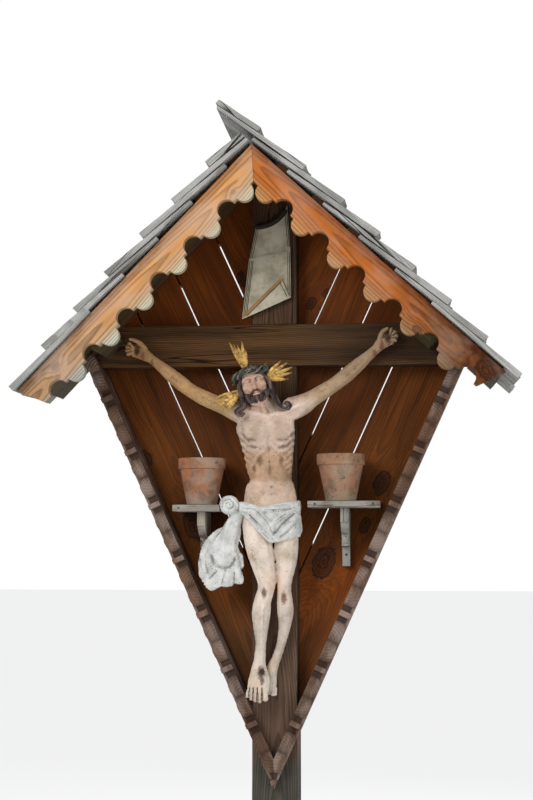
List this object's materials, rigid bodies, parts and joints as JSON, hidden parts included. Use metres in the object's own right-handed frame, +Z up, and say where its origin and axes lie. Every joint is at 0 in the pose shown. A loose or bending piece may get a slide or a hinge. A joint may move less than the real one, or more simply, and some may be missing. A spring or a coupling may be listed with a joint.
{
  "type": "wayside shrine",
  "caption": "Roofed wooden wayside cross: a post with a V-shaped board backing, a crossbeam, a carved painted figure, shelves with clay pots and a scalloped, shingled saddle roof.",
  "frame": {"origin": "centre of the post's foot, at ground level", "axes": "+Z up along the post, front faces -Y, +X to the viewer's right; rest pose stands upright"},
  "size_m": [1.5459, 0.445, 2.9257],
  "materials": {
    "post_wood": "weathered grey-brown timber with long drying checks",
    "beam_wood": "dark brown stained timber, rough",
    "backing_wood": "red-brown stained boards with knots",
    "edge_wood": "weathered reddish-grey boards with chip carving",
    "barge_wood": "warm orange-brown weathered softwood",
    "shingle_wood": "silver-grey weathered shingles",
    "rafter_wood": "brown sawn timber",
    "shelf_wood": "whitewashed weathered timber",
    "terracotta": "unglazed orange clay with lime bloom",
    "terracotta_aged": "unglazed clay, greyed by weather",
    "flesh_paint": "painted carved wood, matt cream-pink",
    "cloth_paint": "painted carved wood, greyed white",
    "hair_paint": "painted carved wood, dark brown",
    "thorn_paint": "painted carved wood, dark grey-green",
    "gilt": "dull gilding",
    "iron": "dark rusted iron",
    "scroll_paint": "painted carved wood, stone grey with ochre edges"
  },
  "bodies": {
    "root": {"back_board_left_1": "backing_wood", "back_board_left_2": "backing_wood", "back_board_left_3": "backing_wood", "back_board_left_4": "backing_wood", "back_board_right_1": "backing_wood", "back_board_right_2": "backing_wood", "back_board_right_3": "backing_wood", "back_board_right_4": "backing_wood", "back_cleat_left": "rafter_wood", "back_cleat_right": "rafter_wood", "barge_board_left": "barge_wood", "barge_board_right": "barge_wood", "crossbeam": "beam_wood", "crown_of_thorns": "thorn_paint", "figure_arm_left": "flesh_paint", "figure_arm_right": "flesh_paint", "figure_hair": "hair_paint", "figure_head": "flesh_paint", "figure_nails": "iron", "figure_torso": "flesh_paint", "flower_pot_left": "terracotta", "flower_pot_right": "terracotta_aged", "halo_rays": "gilt", "inner_rafter_left": "rafter_wood", "inner_rafter_right": "rafter_wood", "loincloth": "cloth_paint", "post": "post_wood", "purlin_left": "rafter_wood", "purlin_right": "rafter_wood", "rear_rafter_left": "rafter_wood", "rear_rafter_right": "rafter_wood", "roof_battens_left": "rafter_wood", "roof_battens_right": "rafter_wood", "roof_lining_left": "rafter_wood", "roof_lining_right": "rafter_wood", "shelf_bracket_left": "shelf_wood", "shelf_bracket_right": "shelf_wood", "shelf_left": "shelf_wood", "shelf_right": "shelf_wood", "shingles_left": "shingle_wood", "shingles_right": "shingle_wood", "side_board_left": "edge_wood", "side_board_right": "edge_wood", "title_scroll": "scroll_paint"}
  },
  "joints": []
}
